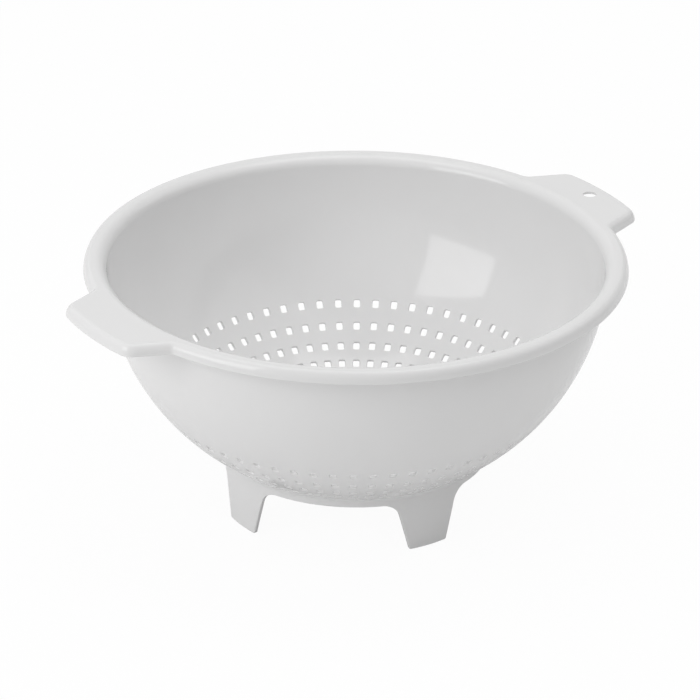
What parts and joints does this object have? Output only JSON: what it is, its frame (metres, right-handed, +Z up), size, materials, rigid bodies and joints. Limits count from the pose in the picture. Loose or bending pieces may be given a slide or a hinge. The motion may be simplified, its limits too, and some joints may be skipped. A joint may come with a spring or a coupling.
{
  "type": "colander",
  "caption": "Round plastic colander: hemispherical bowl with rows of small square holes, a flat rim with turned-down lip, two flat handles and a ring foot on legs.",
  "frame": {"origin": "centre of the colander on the table, at the level of the undersides of the legs", "axes": "+Z up, +X through the handle with the hanging hole, -X through the plain handle"},
  "size_m": [0.295, 0.26, 0.1265],
  "materials": {
    "plastic": "white polypropylene, smooth moulded surface with a soft gloss"
  },
  "bodies": {
    "root": {"rim_flange": "plastic", "rim_lip_front": "plastic", "rim_lip_back": "plastic", "handle_plain": "plastic", "handle_hanging": "plastic", "bowl_wall": "plastic", "strainer_wall": "plastic", "strainer_floor": "plastic", "foot_ring": "plastic", "leg_front": "plastic", "leg_right": "plastic", "leg_back": "plastic", "leg_left": "plastic"}
  },
  "joints": []
}
